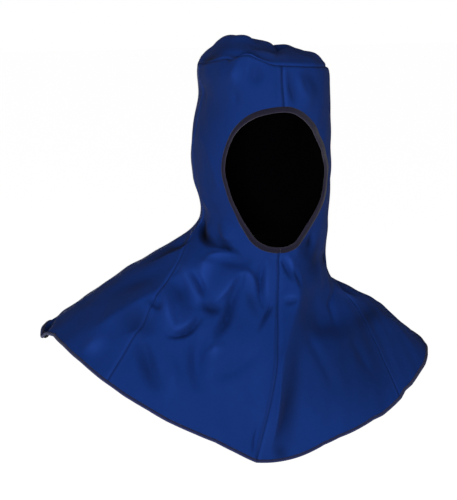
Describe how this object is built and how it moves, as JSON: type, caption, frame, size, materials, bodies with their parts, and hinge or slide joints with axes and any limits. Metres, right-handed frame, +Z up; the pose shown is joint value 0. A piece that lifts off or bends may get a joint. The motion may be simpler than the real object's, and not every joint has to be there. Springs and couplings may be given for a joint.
{
  "type": "welding hood",
  "caption": "Royal blue cloth welding hood: a fitted head tube with an egg-shaped bound face opening and a wide cape that covers neck and shoulders.",
  "frame": {"origin": "where the crown rests on the top of the wearer's head", "axes": "+Z up out of the top of the head, -Y out of the face opening, +X to the wearer's left"},
  "size_m": [0.5613, 0.4249, 0.5505],
  "materials": {
    "cloth": "matt woven cotton, royal blue",
    "binding": "matt overlocked binding, dark plum navy"
  },
  "bodies": {
    "root": {"front_panel_right": "cloth", "front_panel_left": "cloth", "back_panel_right": "cloth", "back_panel_left": "cloth", "crown_panel": "cloth", "face_binding": "binding", "hem_binding": "binding"}
  },
  "joints": []
}
